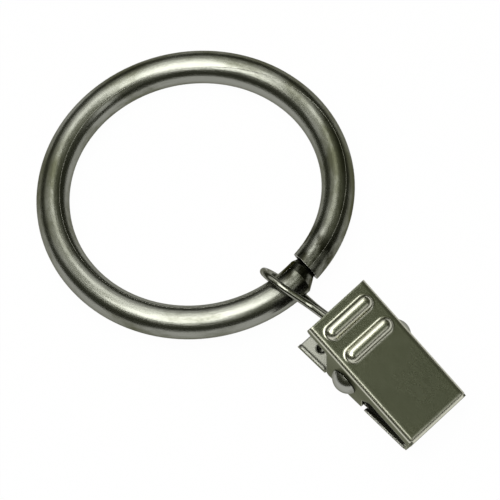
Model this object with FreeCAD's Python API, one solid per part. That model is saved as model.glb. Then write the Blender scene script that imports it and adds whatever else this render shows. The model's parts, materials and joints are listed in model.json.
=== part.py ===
"""Curtain ring with a sprung clip that hangs from it on a wire eye, lying on a table.

Lengths are in millimetres and angles in degrees. The origin is the ring's centre, +Z is up and the clip
points along +X. The ring leans a little, because the eye's wire lies between it and the table.
"""

import FreeCAD
import Part

import math
import os

from FreeCAD import Placement, Rotation, Vector

# Ring: a hollow tube rolled to a circle, with one end necked down to enter the other
RING_BORE = 38.0
TUBE_DIAMETER = 5.0
TUBE_WALL = 0.5
JOINT_ANGLE = 5.5
NECK_LENGTH = 2.3
NECK_REACH = 0.4
NECK_DIAMETER = 2.9
SHOULDER_LENGTH = 0.95
SHOULDER_DIAMETER = 4.2
MOUTH_SLANT = 8.0
MOUTH_LEAN = 9.0
TIGHT_RADIUS = 20.3
TIGHT_SWEEP = 52.6

# Wire eye: a loop round the tube that narrows to a hook round the clip's hinge pin
EYE_WIRE = 1.1
EYE_SEAT = 0.2
HOOK_SEAT = 0.1
EYE_ANGLE = -3.5
EYE_ROLL = 24.0
EYE_SLACK = 0.85
EYE_TAPER = 28.0
EYE_NECK_BEND = 3.0
EYE_END_GAP = 0.2
HOOK_SIDE = 0.75

# Clip: two folded sheet jaws, alike but for their lengths and flanges
SHEET = 0.5
JAW_WIDTH = 11.24
JAW_ANGLE = 18.2
PIN_RISE = 4.9
SIDE_INNER_BEND = 0.3
FRONT_INNER_BEND = 0.5
LIP_GAP = 0.2
CORNER_RELIEF = 0.35
UPPER_HANDLE = 9.2
UPPER_NOSE = 13.2
UPPER_HANDLE_FLANGE = 1.8
UPPER_NOSE_FLANGE = 2.3
LOWER_HANDLE = 9.75
LOWER_NOSE = 12.85
LOWER_HANDLE_FLANGE = 1.5
LOWER_NOSE_FLANGE = 0.9
FLANGE_ROUND = 0.8

# Ears that carry the hinge pin: the upper jaw's lie outside the lower jaw's
EAR_HALF_WIDTH = 3.65
EAR_DROP = 3.7
EAR_ROUND = 0.7
EAR_ROOT_ROUND = 0.6
EAR_BITE = 0.9
EAR_GAP = 0.15
INNER_EAR_RADIUS = 2.5
NOTCH_GAP = 0.5

# Two pressed ribs across each handle
RIB_SETBACK = 2.6
RIB_PITCH = 4.35
RIB_WIDTH = 2.4
RIB_HEIGHT = 0.85
RIB_MARGIN = 1.22
RIB_FOOT = 0.4

# Hinge pin: a rivet with a domed head at each end
PIN_DIAMETER = 1.2
PIN_CLEARANCE = 0.04
HEAD_DIAMETER = 4.4
HEAD_HEIGHT = 1.4
HEAD_CLEARANCE = 0.08

# Spring: one wire with a coil on each side of the eye, a bridge on the upper handle and two lower legs
SPRING_WIRE = 0.5
SPRING_COIL_GAP = 0.25
SPRING_PITCH = 0.54
SPRING_COIL_START = 2.4
SPRING_BEND = 0.5
SPRING_LEG = 4.8
SPRING_SEAT = 0.05

# Where the clip lies
PIN_X = 38.6
CLIP_Y = -0.76

RING_RADIUS = (RING_BORE + TUBE_DIAMETER) / 2
EYE_BAND = TUBE_DIAMETER / 2 + EYE_SEAT + EYE_WIRE / 2
EYE_LOOP = EYE_BAND / math.cos(math.radians(EYE_ROLL))
HOOK_RADIUS = (PIN_DIAMETER / 2 + HOOK_SEAT + EYE_WIRE / 2) / math.cos(math.radians(EYE_ROLL))
SIDE_BEND = SHEET + SIDE_INNER_BEND
FRONT_BEND = SHEET + FRONT_INNER_BEND
RIB_LENGTH = JAW_WIDTH - 2 * RIB_MARGIN
RIB_RADIUS = (RIB_WIDTH**2 / 4 + RIB_HEIGHT**2) / (2 * RIB_HEIGHT)
OVER = 1.0

UP = Vector(0, 0, 1)
ACROSS = Vector(0, 1, 0)
CENTRE = Vector(0, 0, 0)


def polar(radius, angle):
    """Point at a radius and angle in the XY plane."""
    turn = math.radians(angle)
    return Vector(radius * math.cos(turn), radius * math.sin(turn), 0)


def side(u, w):
    """Point of a side profile: u runs along the clip and w up."""
    return Vector(u, 0, w)


def side_arc(centre, radius, start, end):
    """Arc in the XZ plane between two angles measured from +X towards +Z."""
    points = []
    for angle in (start, (start + end) / 2, end):
        turn = math.radians(angle)
        points.append(centre + Vector(radius * math.cos(turn), 0, radius * math.sin(turn)))
    return Part.Arc(*points).toShape()


def line(start, end):
    """Straight edge."""
    return Part.LineSegment(start, end).toShape()


def corner_arc(before, point, after, radius):
    """Arc that rounds the corner at a point, with the two points where it leaves the straight sides."""
    back = (before - point).normalize()
    ahead = (after - point).normalize()
    half = back.getAngle(ahead) / 2
    reach = radius / math.tan(half)
    start = point + back * reach
    end = point + ahead * reach
    middle = point + (back + ahead).normalize() * (radius / math.sin(half) - radius)
    return start, Part.Arc(start, middle, end).toShape(), end


def rounded_wire(corners):
    """Closed wire through (point, radius) corners, each rounded by an arc of its own radius."""
    bends = []
    for index, (point, radius) in enumerate(corners):
        if radius > 0:
            after = corners[(index + 1) % len(corners)][0]
            bends.append(corner_arc(corners[index - 1][0], point, after, radius))
        else:
            bends.append((point, None, point))
    edges = []
    for index, (start, bend, end) in enumerate(bends):
        edges.append(line(bends[index - 1][2], start))
        if bend is not None:
            edges.append(bend)
    return Part.Wire(edges)


def side_plate(corners):
    """Solid whose outline, seen from the side, is rounded, and which is wider than the clip."""
    reach = JAW_WIDTH + OVER
    face = Part.Face(rounded_wire(corners))
    face.translate(ACROSS * -reach)
    return face.extrude(ACROSS * (2 * reach))


def trough(rear, front, inset, floor, bend):
    """Long solid between two stations, with rounded lower edges and sides set in by inset."""
    half = JAW_WIDTH / 2 - inset
    corners = [
        (Vector(rear, -half, floor), bend),
        (Vector(rear, half, floor), bend),
        (Vector(rear, half, PIN_RISE * 2), 0),
        (Vector(rear, -half, PIN_RISE * 2), 0),
    ]
    return Part.Face(rounded_wire(corners)).extrude(Vector(front - rear, 0, 0))


def rib(radius, drop):
    """Capsule across the clip: a bar with round ends whose axis is drop below the pin."""
    reach = (RIB_LENGTH - RIB_WIDTH) / 2
    bar = Part.makeCylinder(radius, 2 * reach, Vector(0, -reach, -drop), ACROSS)
    ends = [Part.makeSphere(radius, Vector(0, y, -drop)) for y in (-reach, reach)]
    return bar.fuse(ends)


def soften_feet(jaw, handle):
    """Round the feet of the two ribs, where they rise from the outside of a handle."""
    feet = []
    for edge in jaw.Edges:
        box = edge.BoundBox
        level = abs(box.ZMin + PIN_RISE) < 1e-4 and abs(box.ZMax + PIN_RISE) < 1e-4
        for index in range(2):
            middle = RIB_SETBACK + index * RIB_PITCH - handle
            near = max(abs(box.XMin - middle), abs(box.XMax - middle)) < RIB_WIDTH / 2 + 0.01
            if level and near and box.YLength < RIB_LENGTH:
                feet.append(edge)
    return jaw.makeFillet(RIB_FOOT, feet)


def with_ribs(jaw, handle):
    """Press the two ribs outwards from a handle of the given length."""
    drop = PIN_RISE + RIB_HEIGHT - RIB_RADIUS
    for index in range(2):
        place = Vector(RIB_SETBACK + index * RIB_PITCH - handle, 0, 0)
        outside = rib(RIB_RADIUS, drop)
        inside = rib(RIB_RADIUS - SHEET, drop)
        below = Part.makeBox(RIB_WIDTH * 2, JAW_WIDTH * 2, PIN_RISE)
        below.translate(Vector(-RIB_WIDTH, -JAW_WIDTH, SHEET - 2 * PIN_RISE))
        outside = outside.common(below)
        outside.translate(place)
        inside.translate(place)
        jaw = jaw.fuse(outside).cut(inside)
    return soften_feet(jaw.removeSplitter(), handle)


def lip_top(u):
    """Height at which a jaw's front lip stops, just short of the plane where the two jaws meet."""
    return -u * math.tan(math.radians(JAW_ANGLE / 2)) - LIP_GAP / 2


def tray(handle, nose, outline):
    """Folded sheet: a floor, two side flanges and a front lip, cut to a side outline."""
    floor = -PIN_RISE
    outer = trough(-handle, nose, 0, floor, SIDE_BEND).common(side_plate(outline))
    hollow = trough(-handle - OVER, nose, SHEET, floor + SHEET, SIDE_INNER_BEND)
    stop = nose - SHEET
    core = [
        (side(-handle - OVER, floor + SHEET), 0),
        (side(stop, floor + SHEET), FRONT_INNER_BEND),
        (side(stop, PIN_RISE * 2), 0),
        (side(-handle - OVER, PIN_RISE * 2), 0),
    ]
    return outer.cut(hollow.common(side_plate(core)))


def relieve_corners(jaw, nose):
    """Cut the small round reliefs where the side folds meet the front fold."""
    for sign in (-1, 1):
        y = sign * (JAW_WIDTH / 2 - CORNER_RELIEF / 2)
        spot = Vector(nose - CORNER_RELIEF / 2, y, -PIN_RISE - OVER)
        jaw = jaw.cut(Part.makeCylinder(CORNER_RELIEF, OVER + FRONT_BEND, spot))
    return jaw


def pin_hole(jaw):
    """Pierce both ears for the hinge pin."""
    radius = PIN_DIAMETER / 2 + PIN_CLEARANCE
    return jaw.cut(Part.makeCylinder(radius, 2 * JAW_WIDTH, Vector(0, -JAW_WIDTH, 0), ACROSS))


def against_lower(u, w):
    """Point given along and square to the closed lower jaw, in the frame of the upper jaw on its back."""
    return Rotation(ACROSS, JAW_ANGLE).multVec(side(u, w))


def upper_outline():
    """Side outline of the upper jaw lying on its back: narrow flanges with the deep outer ear between."""
    floor = -PIN_RISE
    nose = UPPER_NOSE
    handle_top = floor + UPPER_HANDLE_FLANGE
    nose_top = floor + UPPER_NOSE_FLANGE
    rear_tip = against_lower(-EAR_HALF_WIDTH, EAR_DROP)
    front_tip = against_lower(EAR_HALF_WIDTH, EAR_DROP)
    rear_edge = against_lower(0, -1)
    rear_root = rear_tip + rear_edge * ((rear_tip.z - handle_top) / -rear_edge.z)
    lip_root = nose - SHEET
    return [
        (side(-UPPER_HANDLE, floor), 0),
        (side(nose, floor), FRONT_BEND),
        (side(nose, lip_top(nose)), 0),
        (side(lip_root, lip_top(lip_root)), 0),
        (side(lip_root, nose_top), 0),
        (side(front_tip.x, nose_top), EAR_ROOT_ROUND),
        (side(front_tip.x - EAR_BITE, (nose_top + front_tip.z) / 2), EAR_ROOT_ROUND),
        (front_tip, EAR_ROUND / 2),
        (rear_tip, EAR_ROUND),
        (rear_root, EAR_ROOT_ROUND),
        (side(-UPPER_HANDLE, handle_top), FLANGE_ROUND),
    ]


def upper_jaw():
    """Upper jaw, made lying on its back like the lower one."""
    jaw = tray(UPPER_HANDLE, UPPER_NOSE, upper_outline())
    jaw = relieve_corners(jaw, UPPER_NOSE)
    jaw = with_ribs(jaw, UPPER_HANDLE)
    return pin_hole(jaw)


def lower_outline():
    """Side outline of the lower jaw's full-width sheet, which has no ears."""
    floor = -PIN_RISE
    nose = LOWER_NOSE
    handle_top = floor + LOWER_HANDLE_FLANGE
    nose_top = floor + LOWER_NOSE_FLANGE
    lip_root = nose - SHEET
    notch = EAR_HALF_WIDTH + NOTCH_GAP
    return [
        (side(-LOWER_HANDLE, floor), 0),
        (side(nose, floor), FRONT_BEND),
        (side(nose, lip_top(nose)), 0),
        (side(lip_root, lip_top(lip_root)), 0),
        (side(lip_root, nose_top), 0),
        (side(notch, nose_top), 0),
        (side(notch, floor + SHEET), 0),
        (side(-notch, floor + SHEET), 0),
        (side(-notch, handle_top), 0),
        (side(-LOWER_HANDLE, handle_top), FLANGE_ROUND),
    ]


def inner_ears():
    """Narrow middle of the lower jaw: its floor and the two round-topped ears inside the upper jaw's."""
    floor = -PIN_RISE
    inset = SHEET + EAR_GAP
    reach = EAR_HALF_WIDTH + NOTCH_GAP
    outside = trough(-reach, reach, inset, floor, SIDE_BEND)
    inside = trough(-reach, reach, inset + SHEET, floor + SHEET, SIDE_INNER_BEND)
    root = INNER_EAR_RADIUS + EAR_ROOT_ROUND
    outline = [
        (side(-reach, floor), 0),
        (side(reach, floor), 0),
        (side(reach, floor + SHEET), 0),
        (side(root, floor + SHEET), EAR_ROOT_ROUND),
        (side(INNER_EAR_RADIUS, INNER_EAR_RADIUS), INNER_EAR_RADIUS * 0.9),
        (side(-INNER_EAR_RADIUS, INNER_EAR_RADIUS), INNER_EAR_RADIUS * 0.9),
        (side(-root, floor + SHEET), EAR_ROOT_ROUND),
        (side(-reach, floor + SHEET), 0),
    ]
    return outside.cut(inside).common(side_plate(outline))


def lower_jaw():
    """Lower jaw: full-width handle and nose, with a narrower middle that carries its ears."""
    jaw = tray(LOWER_HANDLE, LOWER_NOSE, lower_outline())
    jaw = relieve_corners(jaw, LOWER_NOSE)
    reach = EAR_HALF_WIDTH + NOTCH_GAP
    for sign in (-1, 1):
        slot = Part.makeBox(2 * reach, JAW_WIDTH, PIN_RISE)
        middle = sign * (JAW_WIDTH - SHEET - EAR_GAP - SIDE_BEND)
        slot.translate(Vector(-reach, middle - JAW_WIDTH / 2, -PIN_RISE - OVER))
        jaw = jaw.cut(slot)
    jaw = jaw.fuse(inner_ears())
    jaw = with_ribs(jaw, LOWER_HANDLE)
    return pin_hole(jaw)


def hinge_pin():
    """Rivet through the four ears, with a domed head outside each upper ear."""
    reach = JAW_WIDTH / 2 + HEAD_CLEARANCE
    radius = HEAD_DIAMETER / 2
    half = [
        line(Vector(0, 0, 0), Vector(PIN_DIAMETER / 2, 0, 0)),
        line(Vector(PIN_DIAMETER / 2, 0, 0), Vector(PIN_DIAMETER / 2, reach, 0)),
        line(Vector(PIN_DIAMETER / 2, reach, 0), Vector(radius, reach, 0)),
    ]
    dome = (radius**2 + HEAD_HEIGHT**2) / (2 * HEAD_HEIGHT)
    hub = Vector(0, reach + HEAD_HEIGHT - dome, 0)
    spread = math.asin(radius / dome) / 2
    middle = hub + Vector(dome * math.sin(spread), dome * math.cos(spread), 0)
    top = Vector(0, reach + HEAD_HEIGHT, 0)
    half.append(Part.Arc(Vector(radius, reach, 0), middle, top).toShape())
    half.append(line(top, Vector(0, 0, 0)))
    right = Part.Face(Part.Wire(half)).revolve(CENTRE, ACROSS, 360)
    return right.fuse(right.mirror(CENTRE, ACROSS)).removeSplitter()


def tangent_angle(target, radius, sign):
    """Angle, from +X towards +Z, at which a straight wire from target touches a circle round the pin."""
    heading = math.atan2(target.z, target.x)
    return math.degrees(heading + sign * math.acos(radius / math.hypot(target.x, target.z)))


def around_pin(radius, angle):
    """Point on a circle round the pin, at an angle from +X towards +Z."""
    return side(radius * math.cos(math.radians(angle)), radius * math.sin(math.radians(angle)))


def torsion_spring():
    """Double coil spring of one wire, in the lower jaw's frame: bridge, leg, coil and leg on each side.

    Each coil has as many whole turns as fit beside the lower jaw's ear.
    """
    coil = PIN_DIAMETER / 2 + SPRING_COIL_GAP + SPRING_WIRE / 2
    slope = SPRING_PITCH / (2 * math.pi * coil)
    seat = PIN_RISE - SHEET - SPRING_WIRE / 2 - SPRING_SEAT
    bridge = against_lower(-SPRING_LEG, seat)
    rest = side(-SPRING_LEG, -seat)
    start = tangent_angle(bridge, coil, -1)
    end = tangent_angle(rest, coil, 1)
    enter = around_pin(coil, start)
    leave = around_pin(coil, end)
    drift = (rest - leave).Length * slope
    ear = JAW_WIDTH / 2 - 2 * SHEET - EAR_GAP
    room = ear - SPRING_SEAT - SPRING_WIRE / 2 - drift - SPRING_COIL_START
    part_turn = (start - end) / 360
    turns = math.floor(room / SPRING_PITCH - part_turn)
    width = SPRING_PITCH * (turns + part_turn)
    helix = Part.makeHelix(SPRING_PITCH, width, coil)
    laid = Rotation(ACROSS, -start) * Rotation(Vector(1, 0, 0), -90)
    helix.Placement = Placement(ACROSS * SPRING_COIL_START, laid)
    corner = bridge + ACROSS * (SPRING_COIL_START - (enter - bridge).Length * slope)
    tip = rest + ACROSS * (SPRING_COIL_START + width + drift)
    enter += ACROSS * SPRING_COIL_START
    leave += ACROSS * (SPRING_COIL_START + width)
    bend_start, bend, bend_end = corner_arc(bridge, corner, enter, SPRING_BEND)
    path = Part.Wire([
        line(bridge, bend_start),
        bend,
        line(bend_end, enter),
        helix.Edges[0],
        line(leave, tip),
    ])
    ring = Part.Wire(Part.makeCircle(SPRING_WIRE / 2, bridge, ACROSS))
    half = path.makePipeShell([ring], True, False)
    return half.fuse(half.mirror(CENTRE, ACROSS)).removeSplitter()


def tube_arc(hub, radius, start, sweep):
    """Hollow tube bent round a vertical axis through hub."""
    spot = hub + polar(radius, start)
    along = polar(1, start + 90)
    outer = Part.Wire(Part.makeCircle(TUBE_DIAMETER / 2, spot, along))
    inner = Part.Wire(Part.makeCircle(TUBE_DIAMETER / 2 - TUBE_WALL, spot, along))
    section = Part.Face(outer).cut(Part.Face(inner)).Faces[0]
    return section.revolve(hub, UP, sweep)


def curtain_ring():
    """Ring made of a main arc, a last stretch rolled a little tighter, and a neck that enters its mouth."""
    tight_start = JOINT_ANGLE + TIGHT_SWEEP
    hub = polar(RING_RADIUS - TIGHT_RADIUS, tight_start)
    mouth = hub + polar(TIGHT_RADIUS, JOINT_ANGLE)
    spare = TUBE_DIAMETER * math.tan(math.radians(MOUTH_SLANT + MOUTH_LEAN))
    tight = tube_arc(hub, TIGHT_RADIUS, tight_start, -TIGHT_SWEEP - math.degrees(spare / TIGHT_RADIUS))
    reach = TUBE_DIAMETER * 2
    waste = Part.makeBox(reach * 2, reach, reach * 2, Vector(-reach, -reach, -reach))
    turned = Rotation(UP, JOINT_ANGLE - MOUTH_SLANT) * Rotation(Vector(1, 0, 0), MOUTH_LEAN)
    waste.Placement = Placement(mouth, turned)
    tight = tight.cut(waste)
    inward = polar(1, JOINT_ANGLE + 90)
    mouth_angle = math.degrees(math.atan2(mouth.y, mouth.x))
    neck_start = mouth_angle - math.degrees(NECK_LENGTH / RING_RADIUS)
    shoulder_start = mouth_angle - math.degrees(SHOULDER_LENGTH / RING_RADIUS)
    shoulder_radius = RING_RADIUS - (TUBE_DIAMETER - SHOULDER_DIAMETER) / 2
    main = tube_arc(CENTRE, RING_RADIUS, tight_start, 360 + neck_start - tight_start)
    sections = [
        (TUBE_DIAMETER / 2, polar(RING_RADIUS, neck_start), polar(1, neck_start + 90)),
        (SHOULDER_DIAMETER / 2, polar(shoulder_radius, shoulder_start), polar(1, shoulder_start + 90)),
        (NECK_DIAMETER / 2, mouth + inward * NECK_REACH, inward),
    ]
    shells = []
    for inset in (0, TUBE_WALL):
        rings = [Part.Wire(Part.makeCircle(radius - inset, spot, along)) for radius, spot, along in sections]
        shells.append(Part.makeLoft(rings, True, True))
    neck = shells[0].cut(shells[1])
    return main.fuse([tight, neck]).removeSplitter()


def wire_eye(length):
    """Eye of one bent wire in the XZ plane, with the tube's centre at 0 and the pin at X = length."""
    tube = CENTRE
    back = Vector(-EYE_SLACK, 0, 0)
    pin = Vector(length, 0, 0)
    slope = math.radians(EYE_TAPER)
    leave = Vector(EYE_LOOP * math.sin(slope), 0, EYE_LOOP * math.cos(slope))
    fall = (leave.z - HOOK_RADIUS) / math.sin(slope)
    neck = leave + Vector(math.cos(slope), 0, -math.sin(slope)) * fall
    trim = EYE_NECK_BEND * math.tan(slope / 2)
    bend_start = neck - Vector(math.cos(slope), 0, -math.sin(slope)) * trim
    bend_end = neck + Vector(trim, 0, 0)
    bend_hub = bend_end + Vector(0, 0, EYE_NECK_BEND)
    hook_top = pin + Vector(0, 0, HOOK_RADIUS)
    split = (bend_end + hook_top) / 2
    upper = [
        side_arc(tube, EYE_LOOP, 90, 90 - EYE_TAPER),
        line(leave, bend_start),
        side_arc(bend_hub, EYE_NECK_BEND, 270 - EYE_TAPER, 270),
    ]
    lower = [edge.mirror(CENTRE, UP) for edge in upper]
    cut = Vector(EYE_END_GAP / 2, 0, 0)
    lower_split = Vector(split.x, 0, -split.z)
    edges = [
        line(lower_split - cut, Vector(bend_end.x, 0, -bend_end.z)),
        *lower[::-1],
        line(Vector(0, 0, -EYE_LOOP), back - Vector(0, 0, EYE_LOOP)),
        side_arc(back, EYE_LOOP, 270, 90),
        line(back + Vector(0, 0, EYE_LOOP), Vector(0, 0, EYE_LOOP)),
        *upper,
        line(bend_end, hook_top),
        side_arc(pin, HOOK_RADIUS, 90, -90),
        line(pin - Vector(0, 0, HOOK_RADIUS), lower_split + cut),
    ]
    path = Part.Wire(Part.__sortEdges__(edges))
    start = path.OrderedVertexes[0].Point
    ring = Part.Wire(Part.makeCircle(EYE_WIRE / 2, start, Vector(1, 0, 0)))
    return path.makePipeShell([ring], True, False)


def lower_rest():
    """Nose-down angle and pin height of the lower jaw that lies on a rib and on its front fold."""
    fold = LOWER_NOSE - FRONT_BEND
    drop = RIB_RADIUS - RIB_HEIGHT - FRONT_BEND
    pitches = []
    for index in range(2):
        run = fold + LOWER_HANDLE - RIB_SETBACK - index * RIB_PITCH
        tangent = math.asin((RIB_RADIUS - FRONT_BEND) / math.hypot(run, drop))
        pitches.append(tangent - math.atan2(drop, run))
    pitch = max(pitches)
    height = fold * math.sin(pitch) + (PIN_RISE - FRONT_BEND) * math.cos(pitch) + FRONT_BEND
    return math.degrees(pitch), height


def ring_rest(pin_height):
    """Lean of the ring and height of its centre, with the eye's wire between tube and table."""
    crossing = polar(RING_RADIUS, EYE_ANGLE)
    wire = EYE_BAND + EYE_WIRE / 2
    climb = math.atan2(pin_height - wire, PIN_X - crossing.x)
    lift = wire + EYE_SLACK * math.sin(climb) - TUBE_DIAMETER / 2
    lean = math.asin(lift / (RING_RADIUS + crossing.x))
    return math.degrees(lean), RING_RADIUS * math.sin(lean) + TUBE_DIAMETER / 2


PITCH, PIN_HEIGHT = lower_rest()
LEAN, CENTRE_HEIGHT = ring_rest(PIN_HEIGHT)
TILT = Rotation(ACROSS, -LEAN)
PIN = Vector(PIN_X, CLIP_Y, PIN_HEIGHT - CENTRE_HEIGHT)
CROSSING = TILT.multVec(polar(RING_RADIUS, EYE_ANGLE))
EYE_RUN = PIN + ACROSS * HOOK_SIDE - CROSSING
EYE_YAW = math.degrees(math.atan2(EYE_RUN.y, EYE_RUN.x))
EYE_CLIMB = math.degrees(math.asin(EYE_RUN.z / EYE_RUN.Length))


def placed(shape, base, rotation):
    """Copy of a shape moved to its place in the whole."""
    moved = shape.copy()
    moved.Placement = Placement(base, rotation) * moved.Placement
    return moved


def build():
    """All pieces in place, by name."""
    flat = Rotation(ACROSS, PITCH)
    closed = Rotation(ACROSS, PITCH + JAW_ANGLE)
    along_eye = Rotation(UP, EYE_YAW) * Rotation(ACROSS, -EYE_CLIMB) * Rotation(Vector(1, 0, 0), EYE_ROLL)
    return {
        "curtain_ring": placed(curtain_ring(), CENTRE, TILT),
        "wire_eye": placed(wire_eye(EYE_RUN.Length), CROSSING, along_eye),
        "upper_jaw": placed(upper_jaw().mirror(CENTRE, UP), PIN, closed),
        "lower_jaw": placed(lower_jaw(), PIN, flat),
        "hinge_pin": placed(hinge_pin(), PIN, flat),
        "torsion_spring": placed(torsion_spring(), PIN, flat),
    }


os.makedirs("parts", exist_ok=True)
for name, shape in build().items():
    shape.Solids[0].exportStep(f"parts/{name}.step")
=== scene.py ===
"""Dresses a plated curtain ring and its sprung clip, and sets up the studio and the camera.

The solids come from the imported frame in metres: the ring's centre is the origin, +Z is up from the table and
the clip points along +X. Lengths below are in metres and angles in degrees.
"""

from __future__ import annotations

import json
import logging
import math
from dataclasses import dataclass, field, replace
from enum import Enum

import bmesh
import bpy
from mathutils import Matrix, Vector

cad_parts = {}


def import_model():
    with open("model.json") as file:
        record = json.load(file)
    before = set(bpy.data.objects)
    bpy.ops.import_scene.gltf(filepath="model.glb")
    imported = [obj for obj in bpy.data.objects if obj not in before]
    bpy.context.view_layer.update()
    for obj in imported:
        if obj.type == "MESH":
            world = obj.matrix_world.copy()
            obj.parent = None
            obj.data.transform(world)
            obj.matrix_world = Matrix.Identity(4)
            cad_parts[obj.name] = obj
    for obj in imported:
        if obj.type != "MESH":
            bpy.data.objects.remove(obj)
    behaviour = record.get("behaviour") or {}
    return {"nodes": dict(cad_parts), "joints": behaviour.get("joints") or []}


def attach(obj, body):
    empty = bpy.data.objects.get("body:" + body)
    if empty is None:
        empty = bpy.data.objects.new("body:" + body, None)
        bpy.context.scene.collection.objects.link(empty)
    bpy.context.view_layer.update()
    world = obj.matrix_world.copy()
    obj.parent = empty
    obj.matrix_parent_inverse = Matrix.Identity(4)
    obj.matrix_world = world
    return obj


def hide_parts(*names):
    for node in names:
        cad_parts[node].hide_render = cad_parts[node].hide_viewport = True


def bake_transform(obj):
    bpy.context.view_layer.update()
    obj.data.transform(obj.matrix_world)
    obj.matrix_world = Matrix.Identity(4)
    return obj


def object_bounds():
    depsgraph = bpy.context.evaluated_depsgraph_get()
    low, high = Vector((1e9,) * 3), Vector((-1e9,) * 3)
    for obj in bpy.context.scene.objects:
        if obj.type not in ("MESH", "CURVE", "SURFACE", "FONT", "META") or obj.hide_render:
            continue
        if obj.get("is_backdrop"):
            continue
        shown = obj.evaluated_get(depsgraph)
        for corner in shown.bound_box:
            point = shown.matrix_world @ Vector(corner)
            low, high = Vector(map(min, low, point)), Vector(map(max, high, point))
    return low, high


LOG = logging.getLogger("curtain_ring")
MM = 0.001
RING_RADIUS = 21.5 * MM
JOINT_ANGLE = 5.5
JOINT_SPOT = (20.8 * MM, 3.0 * MM, 0.7 * MM)
NOISE_MEAN = 0.5
Colour = tuple[float, float, float]
Direction = tuple[float, float, float]
Place = tuple[float, float, float]
Span = tuple[float, float]


class Body(str, Enum):
    """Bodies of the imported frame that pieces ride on."""

    RING = "ring"
    LOWER = "lower_clip"
    UPPER = "upper_clip"


class Grain(Enum):
    """How a plated surface was worked before it was plated."""

    DRAWN_TUBE = "drawn_tube"
    ROLLED_SHEET = "rolled_sheet"
    DRAWN_WIRE = "drawn_wire"


class Graph:
    """Adds nodes to one node tree and links them."""

    def __init__(self, tree: bpy.types.NodeTree) -> None:
        """Keep the tree that nodes go into."""
        self.tree = tree

    def add(self, kind: str, inputs: dict | None = None, **settings: object) -> bpy.types.Node:
        """Add a node with its settings and inputs.

        Args:
            kind: Blender's name for the node's type.
            inputs: Values or output sockets, by input name or index.
            **settings: Properties of the node, such as operation.

        Returns:
            The new node.
        """
        node = self.tree.nodes.new(kind)
        for name, value in settings.items():
            setattr(node, name, value)
        for name, value in (inputs or {}).items():
            if isinstance(value, bpy.types.NodeSocket):
                self.tree.links.new(value, node.inputs[name])
            else:
                node.inputs[name].default_value = value
        return node

    def math(self, operation: str, *values: object) -> bpy.types.NodeSocket:
        """Add a Math node, of the shader or the geometry kind, and return its result."""
        node = self.add("ShaderNodeMath", dict(enumerate(values)), operation=operation)
        return node.outputs[0]

    def vector(self, operation: str, *values: object) -> bpy.types.NodeSocket:
        """Add a Vector Math node and return its vector."""
        node = self.add("ShaderNodeVectorMath", dict(enumerate(values)), operation=operation)
        return node.outputs["Vector"]

    def measure(self, operation: str, *values: object) -> bpy.types.NodeSocket:
        """Add a Vector Math node and return its number."""
        node = self.add("ShaderNodeVectorMath", dict(enumerate(values)), operation=operation)
        return node.outputs["Value"]

    def spread(self, value: bpy.types.NodeSocket, low: object, high: object) -> bpy.types.NodeSocket:
        """Add a Map Range node that stretches low..high to 0..1, smoothly, and return its result."""
        inputs = {"Value": value, "From Min": low, "From Max": high}
        node = self.add("ShaderNodeMapRange", inputs, interpolation_type="SMOOTHSTEP")
        return node.outputs["Result"]

    def noise(
        self, place: bpy.types.NodeSocket, scale: object, detail: float, roughness: float,
    ) -> bpy.types.NodeSocket:
        """Add a Noise Texture node and return its value."""
        inputs = {"Vector": place, "Scale": scale, "Detail": detail, "Roughness": roughness}
        return self.add("ShaderNodeTexNoise", inputs).outputs["Fac"]

    def mix(self, factor: object, first: object, second: object) -> bpy.types.NodeSocket:
        """Add a colour Mix node and return its colour."""
        node = self.add("ShaderNodeMix", data_type="RGBA")
        for name, value in (("Factor", factor), ("A", first), ("B", second)):
            kind = "VALUE" if name == "Factor" else "RGBA"
            socket = next(s for s in node.inputs if s.name == name and s.type == kind)
            if isinstance(value, bpy.types.NodeSocket):
                self.tree.links.new(value, socket)
            elif kind == "RGBA":
                socket.default_value = (*value, 1.0)
            else:
                socket.default_value = value
        return next(s for s in node.outputs if s.type == "RGBA")


@dataclass(frozen=True)
class GroupSocket:
    """One named input or output of a node group."""

    name: str
    kind: str
    is_output: bool = False


def new_group(name: str, kind: str, sockets: list[GroupSocket]) -> tuple[Graph, dict, bpy.types.Node]:
    """Make an empty node group with its sockets.

    Args:
        name: Name of the group.
        kind: ShaderNodeTree or GeometryNodeTree.
        sockets: Its named inputs and outputs, in order.

    Returns:
        The graph to add nodes to, its input sockets by name, and the output node.
    """
    tree = bpy.data.node_groups.new(name, kind)
    for socket in sockets:
        side = "OUTPUT" if socket.is_output else "INPUT"
        tree.interface.new_socket(socket.name, in_out=side, socket_type=socket.kind)
    graph = Graph(tree)
    entry = graph.add("NodeGroupInput")
    leave = graph.add("NodeGroupOutput")
    return graph, {s.name: s for s in entry.outputs if s.name}, leave


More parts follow.
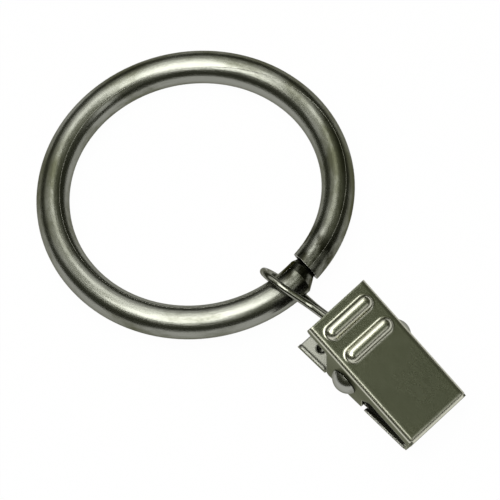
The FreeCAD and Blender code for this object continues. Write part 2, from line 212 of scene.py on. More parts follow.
@dataclass
class PlatingEffects:
    """Shader node groups that the plated finishes share.

    Attributes:
        speck_ratio: How much finer the specks are than the clouds of smoke.
        speck_share: Weight of the specks beside the clouds.
        clear_level: Cloudiness at which smoke sets in where the cover is 0.
        cover_drop: How far a cover of 1 lowers that level.
        smoke_fade: Cloudiness, from that level, over which smoke comes in.
        rub_and_glint_fade: Sharpness of an edge over which brighter metal comes in, partly wear from hands and
            partly painted highlight.
        inner_shade_fade: Turn towards a sheet's inner side over which the painted shade on its inside comes
            in.
        fold_highlight_fade: Tilt from a sheet's outer side over which the painted highlight along its bends
            comes in.
        flank_fade: Tilt over which that painted highlight goes out again.
        edge_samples: Rays that look for an edge.
        smoke: Clouds of an uneven plating bath.
        tube: Coordinates along a bent tube.
        rub_and_glint: Edges brightened by wear from hands and by painted highlights and glints.
        sheet: Painted shade inside a folded sheet and painted highlight along its bends.
    """

    speck_ratio: float = 9.0
    speck_share: float = 0.22
    clear_level: float = 0.97
    cover_drop: float = 0.5
    smoke_fade: Span = (-0.14, 0.16)
    rub_and_glint_fade: Span = (0.01, 0.2)
    inner_shade_fade: Span = (0.2, 0.7)
    fold_highlight_fade: Span = (0.008, 0.06)
    flank_fade: Span = (0.45, 0.8)
    edge_samples: int = 6
    smoke: bpy.types.NodeTree = field(init=False)
    tube: bpy.types.NodeTree = field(init=False)
    rub_and_glint: bpy.types.NodeTree = field(init=False)
    sheet: bpy.types.NodeTree = field(init=False)

    def __post_init__(self) -> None:
        """Build each group once."""
        self.smoke = self._smoke()
        self.tube = self._tube()
        self.rub_and_glint = self._rub_and_glint()
        self.sheet = self._sheet()

    def _smoke(self) -> bpy.types.NodeTree:
        """Build the cloudy dark patches of an uneven plating bath.

        Returns:
            A group that puts out a mask, 1 where the plating is darkest.
        """
        graph, inputs, leave = new_group("plating_smoke", "ShaderNodeTree", [
            GroupSocket("Vector", "NodeSocketVector"),
            GroupSocket("Scale", "NodeSocketFloat"),
            GroupSocket("Cover", "NodeSocketFloat"),
            GroupSocket("Smoke", "NodeSocketFloat", True),
        ])
        cloud = graph.noise(inputs["Vector"], inputs["Scale"], detail=4.0, roughness=0.55)
        speck_scale = graph.math("MULTIPLY", inputs["Scale"], self.speck_ratio)
        speck = graph.noise(inputs["Vector"], speck_scale, detail=3.0, roughness=0.7)
        both = graph.math("MULTIPLY_ADD", speck, self.speck_share, cloud)
        drop = graph.math("MULTIPLY", inputs["Cover"], self.cover_drop)
        level = graph.math("SUBTRACT", self.clear_level, drop)
        mask = graph.spread(graph.math("SUBTRACT", both, level), *self.smoke_fade)
        graph.tree.links.new(mask, leave.inputs["Smoke"])
        return graph.tree

    @staticmethod
    def _tube() -> bpy.types.NodeTree:
        """Build coordinates that follow a tube bent round the Z axis and begin at its joint.

        Returns:
            A group whose vector runs quickly across the tube and slowly along it.
        """
        graph, inputs, leave = new_group("bent_tube_lines", "ShaderNodeTree", [
            GroupSocket("Vector", "NodeSocketVector"),
            GroupSocket("Radius", "NodeSocketFloat"),
            GroupSocket("Stretch", "NodeSocketFloat"),
            GroupSocket("Joint", "NodeSocketFloat"),
            GroupSocket("Lines", "NodeSocketVector", True),
        ])
        back = graph.math("SUBTRACT", math.pi, inputs["Joint"])
        turned = graph.add("ShaderNodeVectorRotate", {
            "Vector": inputs["Vector"], "Angle": back,
        }, rotation_type="Z_AXIS")
        parts = graph.add("ShaderNodeSeparateXYZ", {"Vector": turned.outputs["Vector"]})
        flat = graph.add("ShaderNodeCombineXYZ", {"X": parts.outputs["X"], "Y": parts.outputs["Y"]})
        reach = graph.measure("LENGTH", flat.outputs["Vector"])
        out = graph.math("SUBTRACT", reach, inputs["Radius"])
        turn = graph.math("ARCTAN2", parts.outputs["Y"], parts.outputs["X"])
        along = graph.math("MULTIPLY", graph.math("MULTIPLY", turn, inputs["Radius"]), inputs["Stretch"])
        lines = graph.add("ShaderNodeCombineXYZ", {"X": out, "Y": along, "Z": parts.outputs["Z"]})
        graph.tree.links.new(lines.outputs["Vector"], leave.inputs["Lines"])
        return graph.tree

    def _rub_and_glint(self) -> bpy.types.NodeTree:
        """Build the brighter metal along edges and folds, partly wear from hands and partly painted highlights
        and glints.

        Returns:
            A group that puts out a mask, 1 on the sharpest edges.
        """
        graph, inputs, leave = new_group("rubbed_edges_and_glints", "ShaderNodeTree", [
            GroupSocket("Reach", "NodeSocketFloat"),
            GroupSocket("Rub And Glint", "NodeSocketFloat", True),
        ])
        soft = graph.add("ShaderNodeBevel", {"Radius": inputs["Reach"]}, samples=self.edge_samples)
        shape = graph.add("ShaderNodeNewGeometry")
        likeness = graph.measure("DOT_PRODUCT", soft.outputs["Normal"], shape.outputs["Normal"])
        mask = graph.spread(graph.math("SUBTRACT", 1.0, likeness), *self.rub_and_glint_fade)
        graph.tree.links.new(mask, leave.inputs["Rub And Glint"])
        return graph.tree

    def _sheet(self) -> bpy.types.NodeTree:
        """Build painted shade on the inner side of a folded sheet, where it faces the other jaw, and a painted
        highlight along its bends.

        Returns:
            A group that puts out two masks, read from the surface's direction in its own body.
        """
        graph, inputs, leave = new_group("folded_sheet", "ShaderNodeTree", [
            GroupSocket("Inner Side", "NodeSocketVector"),
            GroupSocket("Inside", "NodeSocketFloat", True),
            GroupSocket("Fold Highlight", "NodeSocketFloat", True),
        ])
        shape = graph.add("ShaderNodeNewGeometry")
        own = graph.add("ShaderNodeVectorTransform", {
            "Vector": shape.outputs["Normal"],
        }, vector_type="NORMAL", convert_from="WORLD", convert_to="OBJECT")
        facing = graph.measure("DOT_PRODUCT", own.outputs["Vector"], inputs["Inner Side"])
        tilt = graph.math("ADD", facing, 1.0)
        # Painted highlight on the bends: a band of tilt just past the sheet's outer face.
        before_flank = graph.math("SUBTRACT", 1.0, graph.spread(tilt, *self.flank_fade))
        fold_highlight_mask = graph.math("MULTIPLY", graph.spread(tilt, *self.fold_highlight_fade), before_flank)
        # Painted shade where the surface faces the other jaw.
        graph.tree.links.new(graph.spread(facing, *self.inner_shade_fade), leave.inputs["Inside"])
        graph.tree.links.new(fold_highlight_mask, leave.inputs["Fold Highlight"])
        return graph.tree


@dataclass(frozen=True)
class PlatedFinish:
    """Dark nickel plating over steel, with its clouds, working lines, edges brightened by wear and by painted
    highlights, and on a folded sheet painted shade inside and painted highlights along its bends.

    Attributes:
        name: Name of the material.
        grain: How the metal was worked.
        clear: Colour where the plating is even.
        smoky: Colour in its dark clouds.
        worn_and_glint: Colour of edges brightened by wear from hands and by painted highlights and glints.
        roughness: Roughness of even plating.
        smoke_scale: Fineness of the clouds.
        smoke_cover: How much of the surface they take, 0 to 1.
        line_scale: Fineness of the working lines.
        line_height: Height of the working lines.
        rub_and_glint_reach: How far that brighter metal, wear and painted highlight, reaches from an edge.
        soften: Radius that edges look rounded by.
        inner_side: Direction of a folded sheet's inner side, where it has one.
        inner_shade: Painted shade on that inner side, where it faces the other jaw.
        fold_highlight: Colour of the painted highlight along the sheet's bends.
        stain: Reach of the blots round the ring's joint, 0 for none.
        stain_fade: Share of that reach, from its rim inwards, over which the blots come in.
        blot: Colour of the blots.
        blot_scale: Fineness of the blots.
        blot_cover: How much of the surface they take, 0 to 1.
        blot_stretch: Scale of the blots along the working direction.
        line_stretch: Scale of the working lines along it.
        smoke_stretch: Scale of the clouds along it.
        line_strength: Strength of the working lines in the bump.
        line_blur: How far the working lines change the roughness.
        smoke_blur: How much rougher the clouds are.
        grazing: Tint of reflections at a grazing angle.
    """

    name: str
    grain: Grain
    clear: Colour
    smoky: Colour
    worn_and_glint: Colour
    roughness: float
    smoke_scale: float
    smoke_cover: float
    line_scale: float
    line_height: float
    rub_and_glint_reach: float
    soften: float = 0.05 * MM
    inner_side: Direction | None = None
    inner_shade: Colour = (0.21, 0.212, 0.186)
    fold_highlight: Colour = (0.58, 0.578, 0.48)
    stain: float = 0.0
    stain_fade: Span = (0.0, 0.6)
    blot: Colour = (0.03, 0.03, 0.019)
    blot_scale: float = 620.0
    blot_cover: float = 0.78
    blot_stretch: float = 0.5
    line_stretch: float = 0.08
    smoke_stretch: float = 0.4
    line_strength: float = 0.35
    line_blur: float = 0.12
    smoke_blur: float = 0.06
    grazing: Colour = (0.42, 0.42, 0.38)

    def material(self, effects: PlatingEffects) -> bpy.types.Material:
        """Build the finish as a material.

        Args:
            effects: The shared node groups.

        Returns:
            The new material.
        """
        made = bpy.data.materials.new(self.name)
        made.use_nodes = True
        graph = Graph(made.node_tree)
        shader = made.node_tree.nodes["Principled BSDF"]
        shader.inputs["Metallic"].default_value = 1.0
        shader.inputs["Specular Tint"].default_value = (*self.grazing, 1.0)
        place = graph.add("ShaderNodeTexCoord").outputs["Object"]
        clouds = self._worked(graph, effects, place, self.smoke_stretch)
        smoke = self._clouded(graph, effects, clouds, self.smoke_scale, self.smoke_cover)
        plated = graph.mix(smoke, self.clear, self.smoky)
        if self.stain:
            plated = self._stained(graph, effects, place, plated)
        if self.inner_side is not None:
            folded = graph.add("ShaderNodeGroup", node_tree=effects.sheet)
            folded.inputs["Inner Side"].default_value = self.inner_side
            # Painted shade on the side of the sheet that faces the other jaw.
            plated = graph.mix(folded.outputs["Inside"], plated, self.inner_shade)
            # Painted highlight along the sheet's folds.
            plated = graph.mix(folded.outputs["Fold Highlight"], plated, self.fold_highlight)
        # Edges brightened partly by wear from hands and partly by painted highlights and glints along edges
        # and folds.
        rubbed_and_glint = graph.add("ShaderNodeGroup", node_tree=effects.rub_and_glint)
        rubbed_and_glint.inputs["Reach"].default_value = self.rub_and_glint_reach
        colour = graph.mix(rubbed_and_glint.outputs["Rub And Glint"], plated, self.worn_and_glint)
        graph.tree.links.new(colour, shader.inputs["Base Color"])
        lines = self._worked(graph, effects, place, self.line_stretch)
        streak = graph.noise(lines, self.line_scale, detail=5.0, roughness=0.65)
        swing = graph.math("SUBTRACT", streak, NOISE_MEAN)
        blur = graph.math("MULTIPLY_ADD", swing, self.line_blur, self.roughness)
        duller = graph.math("MULTIPLY_ADD", smoke, self.smoke_blur, blur)
        graph.tree.links.new(duller, shader.inputs["Roughness"])
        soft = graph.add("ShaderNodeBevel", {"Radius": self.soften}, samples=effects.edge_samples)
        bump = graph.add("ShaderNodeBump", {
            "Height": streak, "Strength": self.line_strength, "Distance": self.line_height,
            "Normal": soft.outputs["Normal"],
        })
        graph.tree.links.new(bump.outputs["Normal"], shader.inputs["Normal"])
        return made

    def _worked(
        self, graph: Graph, effects: PlatingEffects, place: bpy.types.NodeSocket, stretch: float,
    ) -> bpy.types.NodeSocket:
        """Stretch the coordinates along the way that the metal was worked.

        Args:
            graph: The material's graph.
            effects: The shared node groups.
            place: Object coordinates.
            stretch: Scale along the working direction, below 1 for long marks.

        Returns:
            The vector, drawn out along that direction.
        """
        if self.grain is not Grain.DRAWN_TUBE:
            return graph.vector("MULTIPLY", place, (stretch, 1.0, 1.0))
        bent = graph.add("ShaderNodeGroup", node_tree=effects.tube)
        graph.tree.links.new(place, bent.inputs["Vector"])
        bent.inputs["Radius"].default_value = RING_RADIUS
        bent.inputs["Stretch"].default_value = stretch
        bent.inputs["Joint"].default_value = math.radians(JOINT_ANGLE)
        return bent.outputs["Lines"]

    @staticmethod
    def _clouded(
        graph: Graph, effects: PlatingEffects, place: bpy.types.NodeSocket, scale: float, cover: float,
    ) -> bpy.types.NodeSocket:
        """Lay clouds over the surface.

        Args:
            graph: The material's graph.
            effects: The shared node groups.
            place: Coordinates that the clouds follow.
            scale: Fineness of the clouds.
            cover: How much of the surface they take, 0 to 1.

        Returns:
            A mask, 1 in the darkest clouds.
        """
        clouds = graph.add("ShaderNodeGroup", node_tree=effects.smoke)
        graph.tree.links.new(place, clouds.inputs["Vector"])
        clouds.inputs["Scale"].default_value = scale
        clouds.inputs["Cover"].default_value = cover
        return clouds.outputs["Smoke"]

    def _stained(
        self,
        graph: Graph,
        effects: PlatingEffects,
        place: bpy.types.NodeSocket,
        plated: bpy.types.NodeSocket,
    ) -> bpy.types.NodeSocket:
        """Lay dark blots over the plating round the ring's joint.

        Args:
            graph: The material's graph.
            effects: The shared node groups.
            place: Object coordinates.
            plated: Colour of the plating.

        Returns:
            The colour with blots that thin out at the stains' reach.
        """
        away = graph.measure("DISTANCE", place, JOINT_SPOT)
        share = graph.math("DIVIDE", away, self.stain)
        near = graph.spread(graph.math("SUBTRACT", 1.0, share), *self.stain_fade)
        clouds = self._worked(graph, effects, place, self.blot_stretch)
        blots = self._clouded(graph, effects, clouds, self.blot_scale, self.blot_cover)
        return graph.mix(graph.math("MULTIPLY", blots, near), plated, self.blot)


# The ring's brighter edge colour is partly wear and partly painted glints on the mouth's rim and along the
# seam.
RING_PLATING = PlatedFinish(
    name="ring_plating", grain=Grain.DRAWN_TUBE, clear=(0.268, 0.272, 0.24), smoky=(0.094, 0.097, 0.063),
    worn_and_glint=(0.5, 0.495, 0.44), roughness=0.24, smoke_scale=170.0, smoke_cover=0.62, line_scale=2600.0,
    line_height=0.07 * MM, rub_and_glint_reach=0.12 * MM, stain=9.0 * MM,
)
EYE_PLATING = PlatedFinish(
    name="eye_plating", grain=Grain.DRAWN_WIRE, clear=(0.26, 0.262, 0.226), smoky=(0.05, 0.051, 0.034),
    worn_and_glint=(0.4, 0.4, 0.35), roughness=0.16, smoke_scale=300.0, smoke_cover=0.6, line_scale=3000.0,
    line_height=0.02 * MM, rub_and_glint_reach=0.1 * MM,
)
# The jaws' bright edge colour is partly wear and partly painted highlights along their folds and sheet edges.
UPPER_JAW_PLATING = PlatedFinish(
    name="upper_jaw_plating", grain=Grain.ROLLED_SHEET, clear=(0.19, 0.2, 0.148),
    smoky=(0.143, 0.152, 0.108), worn_and_glint=(0.72, 0.715, 0.6), roughness=0.22, smoke_scale=90.0,
    smoke_cover=0.55, line_scale=1500.0, line_height=0.01 * MM, rub_and_glint_reach=0.16 * MM, soften=0.4 * MM,
    inner_side=(-0.39, 0.0, -0.921),
)
LOWER_JAW_PLATING = replace(UPPER_JAW_PLATING, name="lower_jaw_plating", inner_side=(0.073, 0.0, 0.997))
PIN_PLATING = PlatedFinish(
    name="pin_plating", grain=Grain.ROLLED_SHEET, clear=(0.33, 0.333, 0.3), smoky=(0.18, 0.182, 0.15),
    worn_and_glint=(0.46, 0.46, 0.42), roughness=0.22, smoke_scale=300.0, smoke_cover=0.5, line_scale=2000.0,
    line_height=0.01 * MM, rub_and_glint_reach=0.1 * MM,
)
SPRING_STEEL = PlatedFinish(
    name="spring_steel", grain=Grain.DRAWN_WIRE, clear=(0.42, 0.415, 0.39), smoky=(0.19, 0.185, 0.16),
    worn_and_glint=(0.5, 0.5, 0.47), roughness=0.22, smoke_scale=500.0, smoke_cover=0.4, line_scale=4000.0,
    line_height=0.01 * MM, rub_and_glint_reach=0.08 * MM, grazing=(0.6, 0.6, 0.57),
)


def grow(name: str, tree: bpy.types.NodeTree, values: dict[str, object]) -> bpy.types.Object:
    """Run a geometry node tree and keep its result as a plain mesh.

    Args:
        name: Name of the new object.
        tree: The tree, whose inputs are set by name.
        values: Values of its inputs.

    Returns:
        The mesh object, at the origin and without modifiers.
    """
    seed = bpy.data.objects.new(f"{name}_seed", bpy.data.meshes.new(f"{name}_seed"))
    bpy.context.scene.collection.objects.link(seed)
    modifier = seed.modifiers.new(name, "NODES")
    modifier.node_group = tree
    for item in tree.interface.items_tree:
        if item.item_type == "SOCKET" and item.in_out == "INPUT" and item.name in values:
            modifier[item.identifier] = values[item.name]
    bpy.context.view_layer.update()
    ready = seed.evaluated_get(bpy.context.evaluated_depsgraph_get())
    mesh = bpy.data.meshes.new_from_object(ready)
    mesh.name = name
    bpy.data.objects.remove(seed)
    made = bpy.data.objects.new(name, mesh)
    bpy.context.scene.collection.objects.link(made)
    return made


def dress(node: bpy.types.Object, material: bpy.types.Material) -> None:
    """Give one solid of the frame its finish."""
    node.data.materials.clear()
    node.data.materials.append(material)


@dataclass(frozen=True)
class TubeSeam:
    """Fine closed seam along the rolled tube, which winds from its outer side to its inner side.

    Attributes:
        ring_radius: Radius of the round stretch, to the middle of the tube.
        tube_radius: Outer radius of the tube.
        tight_radius: Radius of the tighter stretch before the open end.
        tight_start: Angle at which the tighter stretch begins.
        upper_end: Angle of the seam's end at the open end.
        lower_end: Angle of its other end, a whole turn further on.
        rise: Angle of the seam round the tube at first, up from the outer side.
        wound_rise: That angle once the seam has wound over to the inner side.
        wound_at: Angle of the place on the ring where it has.
        lean: How far the ring leans about the Y axis.
        thin_span: Share of the round stretch over which the seam thins.
        thin_by: Share of its width that it loses there.
        bead: Half of its width.
        swell_scale: Fineness of its uneven width.
        swell_seed: Seed of its uneven width.
        swell_gain: How much the width varies.
        swell_least: Least share of the width.
        sides: Sides of its round profile.
        steps: Points along each stretch.
    """

    ring_radius: float = RING_RADIUS
    tube_radius: float = 2.5 * MM
    tight_radius: float = 20.3 * MM
    tight_start: float = 58.1
    upper_end: float = 4.6
    lower_end: float = 1.9
    rise: float = 58.0
    wound_rise: float = 121.0
    wound_at: float = 140.0
    lean: float = 1.851
    thin_span: Span = (0.45, 0.75)
    thin_by: float = 0.8
    bead: float = 0.05 * MM
    swell_scale: float = 700.0
    swell_seed: float = 3.0
    swell_gain: float = 1.2
    swell_least: float = 0.4
    sides: int = 8
    steps: int = 160

    def build(self, material: bpy.types.Material) -> bpy.types.Object:
        """Sweep the seam along the tube.

        Args:
            material: Finish of the seam.

        Returns:
            A plain mesh object at the origin.
        """
        start = math.radians(self.tight_start)
        hub = self.ring_radius - self.tight_radius
        sweep = 360.0 + self.lower_end - self.tight_start
        numbers = {
            "Main Radius": self.ring_radius,
            "Main Start": start,
            "Main Sweep": math.radians(sweep),
            "Tight Radius": self.tight_radius,
            "Tight Start": math.radians(self.upper_end),
            "Tight Sweep": math.radians(self.tight_start - self.upper_end),
            "Tube Radius": self.tube_radius,
            "Rise": math.radians(self.rise),
            "Wound Rise": math.radians(self.wound_rise),
            "Winding Share": (self.wound_at - self.tight_start) / sweep,
            "Thin From": self.thin_span[0],
            "Thin To": self.thin_span[1],
            "Thin By": self.thin_by,
            "Bead": self.bead,
            "Swell Scale": self.swell_scale,
            "Swell Seed": self.swell_seed,
            "Swell Gain": self.swell_gain,
            "Swell Least": self.swell_least,
        }
        others = {
            "Tight Hub": (hub * math.cos(start), hub * math.sin(start), 0.0),
            "Lean": (0.0, -math.radians(self.lean), 0.0),
            "Sides": self.sides,
            "Steps": self.steps,
            "Material": material,
        }
        return grow("tube_seam", self._tree(list(numbers)), {**numbers, **others})

    @staticmethod
    def _tree(numbers: list[str]) -> bpy.types.NodeTree:
        """Build the sweep: two arcs set out to the tube's surface, a small round profile and the lean.

        Args:
            numbers: Names of the inputs that are plain numbers.

        Returns:
            The geometry node tree.
        """
        graph, inputs, leave = new_group("seam_sweep", "GeometryNodeTree", [
            *(GroupSocket(name, "NodeSocketFloat") for name in numbers),
            GroupSocket("Tight Hub", "NodeSocketVector"),
            GroupSocket("Lean", "NodeSocketRotation"),
            GroupSocket("Sides", "NodeSocketInt"),
            GroupSocket("Steps", "NodeSocketInt"),
            GroupSocket("Material", "NodeSocketMaterial"),
            GroupSocket("Geometry", "NodeSocketGeometry", True),
        ])
        place = graph.add("GeometryNodeInputPosition").outputs["Position"]
        outward = graph.vector("NORMALIZE", place)
        along = graph.add("GeometryNodeSplineParameter").outputs["Factor"]
        thinned = graph.spread(along, inputs["Thin From"], inputs["Thin To"])
        left = graph.math("SUBTRACT", 1.0, graph.math("MULTIPLY", thinned, inputs["Thin By"]))
        winding = graph.add("ShaderNodeMapRange", {
            "Value": along, "From Max": inputs["Winding Share"],
            "To Min": inputs["Rise"], "To Max": inputs["Wound Rise"],
        }, interpolation_type="SMOOTHSTEP").outputs["Result"]
        join = graph.add("GeometryNodeJoinGeometry")
        for name, rise, girth in (("Tight", inputs["Rise"], 1.0), ("Main", winding, left)):
            arc = graph.add("GeometryNodeCurveArc", {
                "Resolution": inputs["Steps"], "Start Angle": inputs[f"{name} Start"],
                "Sweep Angle": inputs[f"{name} Sweep"],
            }, mode="RADIUS")
            arc_radius = next(s for s in arc.inputs if s.name == "Radius")
            graph.tree.links.new(inputs[f"{name} Radius"], arc_radius)
            out = graph.math("MULTIPLY", graph.math("COSINE", rise), inputs["Tube Radius"])
            up = graph.math("MULTIPLY", graph.math("SINE", rise), inputs["Tube Radius"])
            side = graph.add("ShaderNodeVectorMath", {0: outward, "Scale": out}, operation="SCALE")
            height = graph.add("ShaderNodeCombineXYZ", {"Z": up})
            laid = graph.add("GeometryNodeSetPosition", {
                "Geometry": arc.outputs["Curve"],
                "Offset": graph.vector("ADD", side.outputs["Vector"], height.outputs["Vector"]),
            })
            drawn = graph.add("GeometryNodeSetCurveRadius", {
                "Curve": laid.outputs["Geometry"], "Radius": girth,
            })
            stretch = drawn.outputs["Curve"]
            if name == "Tight":
                moved = graph.add("GeometryNodeTransform", {
                    "Geometry": stretch, "Translation": inputs["Tight Hub"],
                })
                stretch = moved.outputs["Geometry"]
            graph.tree.links.new(stretch, join.inputs["Geometry"])
        swell = graph.add("ShaderNodeTexNoise", {
            "Vector": place, "W": inputs["Swell Seed"], "Scale": inputs["Swell Scale"], "Detail": 2.0,
        }, noise_dimensions="4D").outputs["Fac"]
        uneven = graph.math("MULTIPLY_ADD", swell, inputs["Swell Gain"], inputs["Swell Least"])
        width = graph.add("GeometryNodeInputRadius").outputs["Radius"]
        profile = graph.add("GeometryNodeCurvePrimitiveCircle", {
            "Resolution": inputs["Sides"], "Radius": inputs["Bead"],
        }, mode="RADIUS")
        bead = graph.add("GeometryNodeCurveToMesh", {
            "Curve": join.outputs["Geometry"], "Profile Curve": profile.outputs["Curve"],
            "Scale": graph.math("MULTIPLY", uneven, width), "Fill Caps": True,
        })
        leaned = graph.add("GeometryNodeTransform", {
            "Geometry": bead.outputs["Mesh"], "Rotation": inputs["Lean"],
        })
        smooth = graph.add("GeometryNodeSetShadeSmooth", {"Geometry": leaned.outputs["Geometry"]})
        plain = graph.add("GeometryNodeRealizeInstances", {"Geometry": smooth.outputs["Geometry"]})
        plated = graph.add("GeometryNodeSetMaterial", {
            "Geometry": plain.outputs["Geometry"], "Material": inputs["Material"],
        })
        graph.tree.links.new(plated.outputs["Geometry"], leave.inputs["Geometry"])
        return graph.tree


@dataclass
class CurtainRing:
    """The rolled tube that slides on the rod."""

    node: bpy.types.Object
    finish: PlatedFinish = RING_PLATING
    seam: TubeSeam = TubeSeam()

    def dress(self, effects: PlatingEffects) -> None:
        """Plate the tube and lay its seam.

        Args:
            effects: The shared node groups.
        """
        material = self.finish.material(effects)
        dress(self.node, material)
        seam = self.seam.build(material)
        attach(seam, Body.RING.value)
        LOG.info("laid %s with %d faces", seam.name, len(seam.data.polygons))


@dataclass
class WireEye:
    """The bent wire that joins the clip to the ring."""

    node: bpy.types.Object
    finish: PlatedFinish = EYE_PLATING

    def dress(self, effects: PlatingEffects) -> None:
        """Plate the wire."""
        dress(self.node, self.finish.material(effects))


@dataclass
class SpringClip:
    """The two folded jaws, with their hinge pin."""

    upper: bpy.types.Object
    lower: bpy.types.Object
    pin: bpy.types.Object
    upper_finish: PlatedFinish = UPPER_JAW_PLATING
    lower_finish: PlatedFinish = LOWER_JAW_PLATING
    pin_finish: PlatedFinish = PIN_PLATING

    def dress(self, effects: PlatingEffects) -> None:
        """Plate the jaws and the pin.

        Args:
            effects: The shared node groups.
        """
        dress(self.upper, self.upper_finish.material(effects))
        dress(self.lower, self.lower_finish.material(effects))
        dress(self.pin, self.pin_finish.material(effects))


@dataclass
class FlexingSpring:
    """The spring's bright wire, which twists about the hinge pin on the real clip; here it is a smooth copy of
    the frame's stiff wire.

    Attributes:
        node: The stiff wire of the frame.
        hinge: Point on the hinge's axis; not used.
        finish: Finish of the wire.
        upward: Direction from the legs to the bridge; not used.
        coil_radius: Radius of the coils, to the middle of the wire; not used.
        merge_distance: How close two corners are to be one.
        sharp_angle: Angle from which an edge stays sharp.
    """

    node: bpy.types.Object
    hinge: Vector
    finish: PlatedFinish = SPRING_STEEL
    upward: Direction = (0.2347, 0.0, 0.9721)
    coil_radius: float = 1.1 * MM
    merge_distance: float = 0.0005 * MM
    sharp_angle: float = 50.0

    def dress(self, effects: PlatingEffects) -> None:
        """Stand a smooth copy of the stiff wire in for it.

        Args:
            effects: The shared node groups.
        """
        wire = bpy.data.objects.new("spring_wire", self._merged())
        bpy.context.scene.collection.objects.link(wire)
        dress(wire, self.finish.material(effects))
        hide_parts("torsion_spring")
        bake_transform(wire)
        LOG.info("bent %s with %d faces", wire.name, len(wire.data.polygons))

    def _merged(self) -> bpy.types.Mesh:
        """Copy the stiff wire's mesh and join its loose triangles.

        Returns:
            A closed mesh, smooth apart from the wire's cut ends.
        """
        mesh = self.node.data.copy()
        mesh.name = "spring_wire"
        normals = mesh.attributes.get("custom_normal")
        if normals is not None:
            mesh.attributes.remove(normals)
        joined = bmesh.new()
        joined.from_mesh(mesh)
        bmesh.ops.remove_doubles(joined, verts=joined.verts, dist=self.merge_distance)
        joined.to_mesh(mesh)
        joined.free()
        mesh.shade_smooth()
        mesh.set_sharp_from_angle(angle=math.radians(self.sharp_angle))
        return mesh


@dataclass(frozen=True)
class SoftLight:
    """A white rectangular soft light that faces the object."""

    name: str
    azimuth: float
    elevation: float
    distance: float
    width: float
    height: float
    radiance: float

    def build(self, target: Vector) -> None:
        """Hang the light round a target.

        Args:
            target: Point that the light faces.
        """
        data = bpy.data.lights.new(self.name, "AREA")
        data.shape = "RECTANGLE"
        data.size = self.width
        data.size_y = self.height
        data.energy = self.radiance * math.pi * self.width * self.height
        light = bpy.data.objects.new(self.name, data)
        turn = math.radians(self.azimuth)
        rise = math.radians(self.elevation)
        away = Vector((
            math.cos(rise) * math.sin(turn),
            -math.cos(rise) * math.cos(turn),
            math.sin(rise),
        ))
        light.location = target + away * self.distance
        light.rotation_euler = away.to_track_quat("Z", "Y").to_euler()
        bpy.context.scene.collection.objects.link(light)


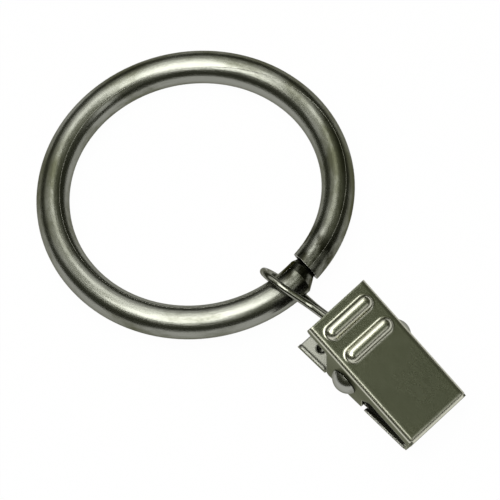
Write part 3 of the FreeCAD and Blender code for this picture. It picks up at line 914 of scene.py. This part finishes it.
@dataclass
class Studio:
    """White table, dim room and soft lights.

    Attributes:
        table_height: Height of the table's top.
        target: Point that the lights face.
        table_size: Length of the table's sides.
        table_colour: Colour of the table in the lights.
        glow: Share of plain white in the table as the camera and the metal see it.
        horizon: Colour of the room at the sides.
        zenith: Colour of the room overhead.
        sky_fade: Height over which the first colour turns into the second.
        lights: The soft lights.
    """

    table_height: float
    target: Vector
    table_size: float = 24.0
    table_colour: Colour = (0.9, 0.9, 0.9)
    glow: float = 0.98
    horizon: Colour = (0.057, 0.06, 0.04)
    zenith: Colour = (0.33, 0.345, 0.247)
    sky_fade: Span = (0.5, 0.98)
    lights: tuple[SoftLight, ...] = (
        SoftLight("overhead_softbox", azimuth=358.0, elevation=79.0, distance=0.6, width=0.42, height=0.48,
                  radiance=4.2),
        SoftLight("back_softbox", azimuth=238.0, elevation=63.0, distance=0.7, width=0.24, height=0.26,
                  radiance=2.0),
        SoftLight("left_panel", azimuth=262.0, elevation=46.0, distance=0.8, width=1.3, height=0.36,
                  radiance=0.8),
        SoftLight("right_strip", azimuth=108.0, elevation=36.0, distance=0.8, width=0.24, height=0.34,
                  radiance=1.1),
        SoftLight("camera_lamp", azimuth=46.0, elevation=58.0, distance=0.7, width=0.3, height=0.2,
                  radiance=1.2),
    )

    def build(self) -> None:
        """Lay the table, hang the lights and dim the room."""
        self._table()
        for light in self.lights:
            light.build(self.target)
        self._room()

    def _table(self) -> None:
        """Lay the white table under the object."""
        half = self.table_size / 2
        corners = [(-half, -half), (half, -half), (half, half), (-half, half)]
        mesh = bpy.data.meshes.new("table")
        mesh.from_pydata([(x, y, self.table_height) for x, y in corners], [], [(0, 1, 2, 3)])
        table = bpy.data.objects.new("table", mesh)
        bpy.context.scene.collection.objects.link(table)
        table.data.materials.append(self._table_material())
        table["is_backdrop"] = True

    def _table_material(self) -> bpy.types.Material:
        """Make a white surface that the camera and the metal see as a bright background.

        Returns:
            The new material.
        """
        made = bpy.data.materials.new("white_table")
        made.use_nodes = True
        graph = Graph(made.node_tree)
        made.node_tree.nodes.remove(made.node_tree.nodes["Principled BSDF"])
        paint = graph.add("ShaderNodeBsdfDiffuse", {"Color": (*self.table_colour, 1.0)})
        white = graph.add("ShaderNodeEmission", {"Strength": 1.0})
        path = graph.add("ShaderNodeLightPath")
        seen = graph.math("MAXIMUM", path.outputs["Is Camera Ray"], path.outputs["Is Glossy Ray"])
        seen = graph.math("MAXIMUM", seen, path.outputs["Is Transmission Ray"])
        share = graph.math("MULTIPLY", seen, self.glow)
        both = graph.add("ShaderNodeMixShader", {0: share, 1: paint.outputs[0], 2: white.outputs[0]})
        leave = made.node_tree.nodes["Material Output"]
        graph.tree.links.new(both.outputs[0], leave.inputs["Surface"])
        return made

    def _room(self) -> None:
        """Dim the room round the table."""
        world = bpy.data.worlds.new("studio")
        world.use_nodes = True
        graph = Graph(world.node_tree)
        place = graph.add("ShaderNodeTexCoord").outputs["Generated"]
        height = graph.add("ShaderNodeSeparateXYZ", {"Vector": place}).outputs["Z"]
        colour = graph.mix(graph.spread(height, *self.sky_fade), self.horizon, self.zenith)
        back = world.node_tree.nodes["Background"]
        graph.tree.links.new(colour, back.inputs["Color"])
        bpy.context.scene.world = world


@dataclass(frozen=True)
class PhotoCamera:
    """Camera with the photo's viewpoint and framing."""

    position: Place = (0.192666, -0.129526, 0.470538)
    forward: Direction = (-0.346041, 0.247583, -0.904963)
    right: Direction = (0.688932, 0.721819, -0.065957)
    lens_mm: float = 252.0
    sensor_mm: float = 36.0
    nearest: float = 0.01

    def build(self) -> None:
        """Place the camera and make it the scene's own."""
        data = bpy.data.cameras.new("photo_camera")
        data.lens = self.lens_mm
        data.sensor_width = self.sensor_mm
        data.clip_start = self.nearest
        camera = bpy.data.objects.new("photo_camera", data)
        right = Vector(self.right).normalized()
        back = -Vector(self.forward).normalized()
        up = back.cross(right)
        axes = Matrix((right, up, back)).transposed().to_4x4()
        camera.matrix_world = Matrix.Translation(self.position) @ axes
        bpy.context.scene.collection.objects.link(camera)
        bpy.context.scene.camera = camera


def plain_box(bounds: tuple) -> list[list[float]]:
    """Turn a box's two corners into plain lists of numbers."""
    return [[float(value) for value in corner] for corner in bounds]


def main() -> None:
    """Build the classes in order and report each piece."""
    logging.basicConfig(level=logging.INFO, format="%(name)s: %(message)s")
    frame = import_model()
    solid_box = plain_box(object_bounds())
    nodes = frame["nodes"]
    hinge = Vector(next(j["pos_m"] for j in frame["joints"] if j["name"] == "jaw_hinge"))
    effects = PlatingEffects()
    assemblies = [
        CurtainRing(nodes["curtain_ring"]),
        WireEye(nodes["wire_eye"]),
        SpringClip(nodes["upper_jaw"], nodes["lower_jaw"], nodes["hinge_pin"]),
        FlexingSpring(nodes["torsion_spring"], hinge),
    ]
    for assembly in assemblies:
        assembly.dress(effects)
        LOG.info("dressed %s", type(assembly).__name__)
    low, high = (Vector(corner) for corner in solid_box)
    studio = Studio(table_height=low.z, target=(low + high) / 2)
    studio.build()
    PhotoCamera().build()
    bpy.context.scene.view_settings.view_transform = "Standard"
    LOG.info("studio and camera set")


if __name__ == "__main__":
    main()
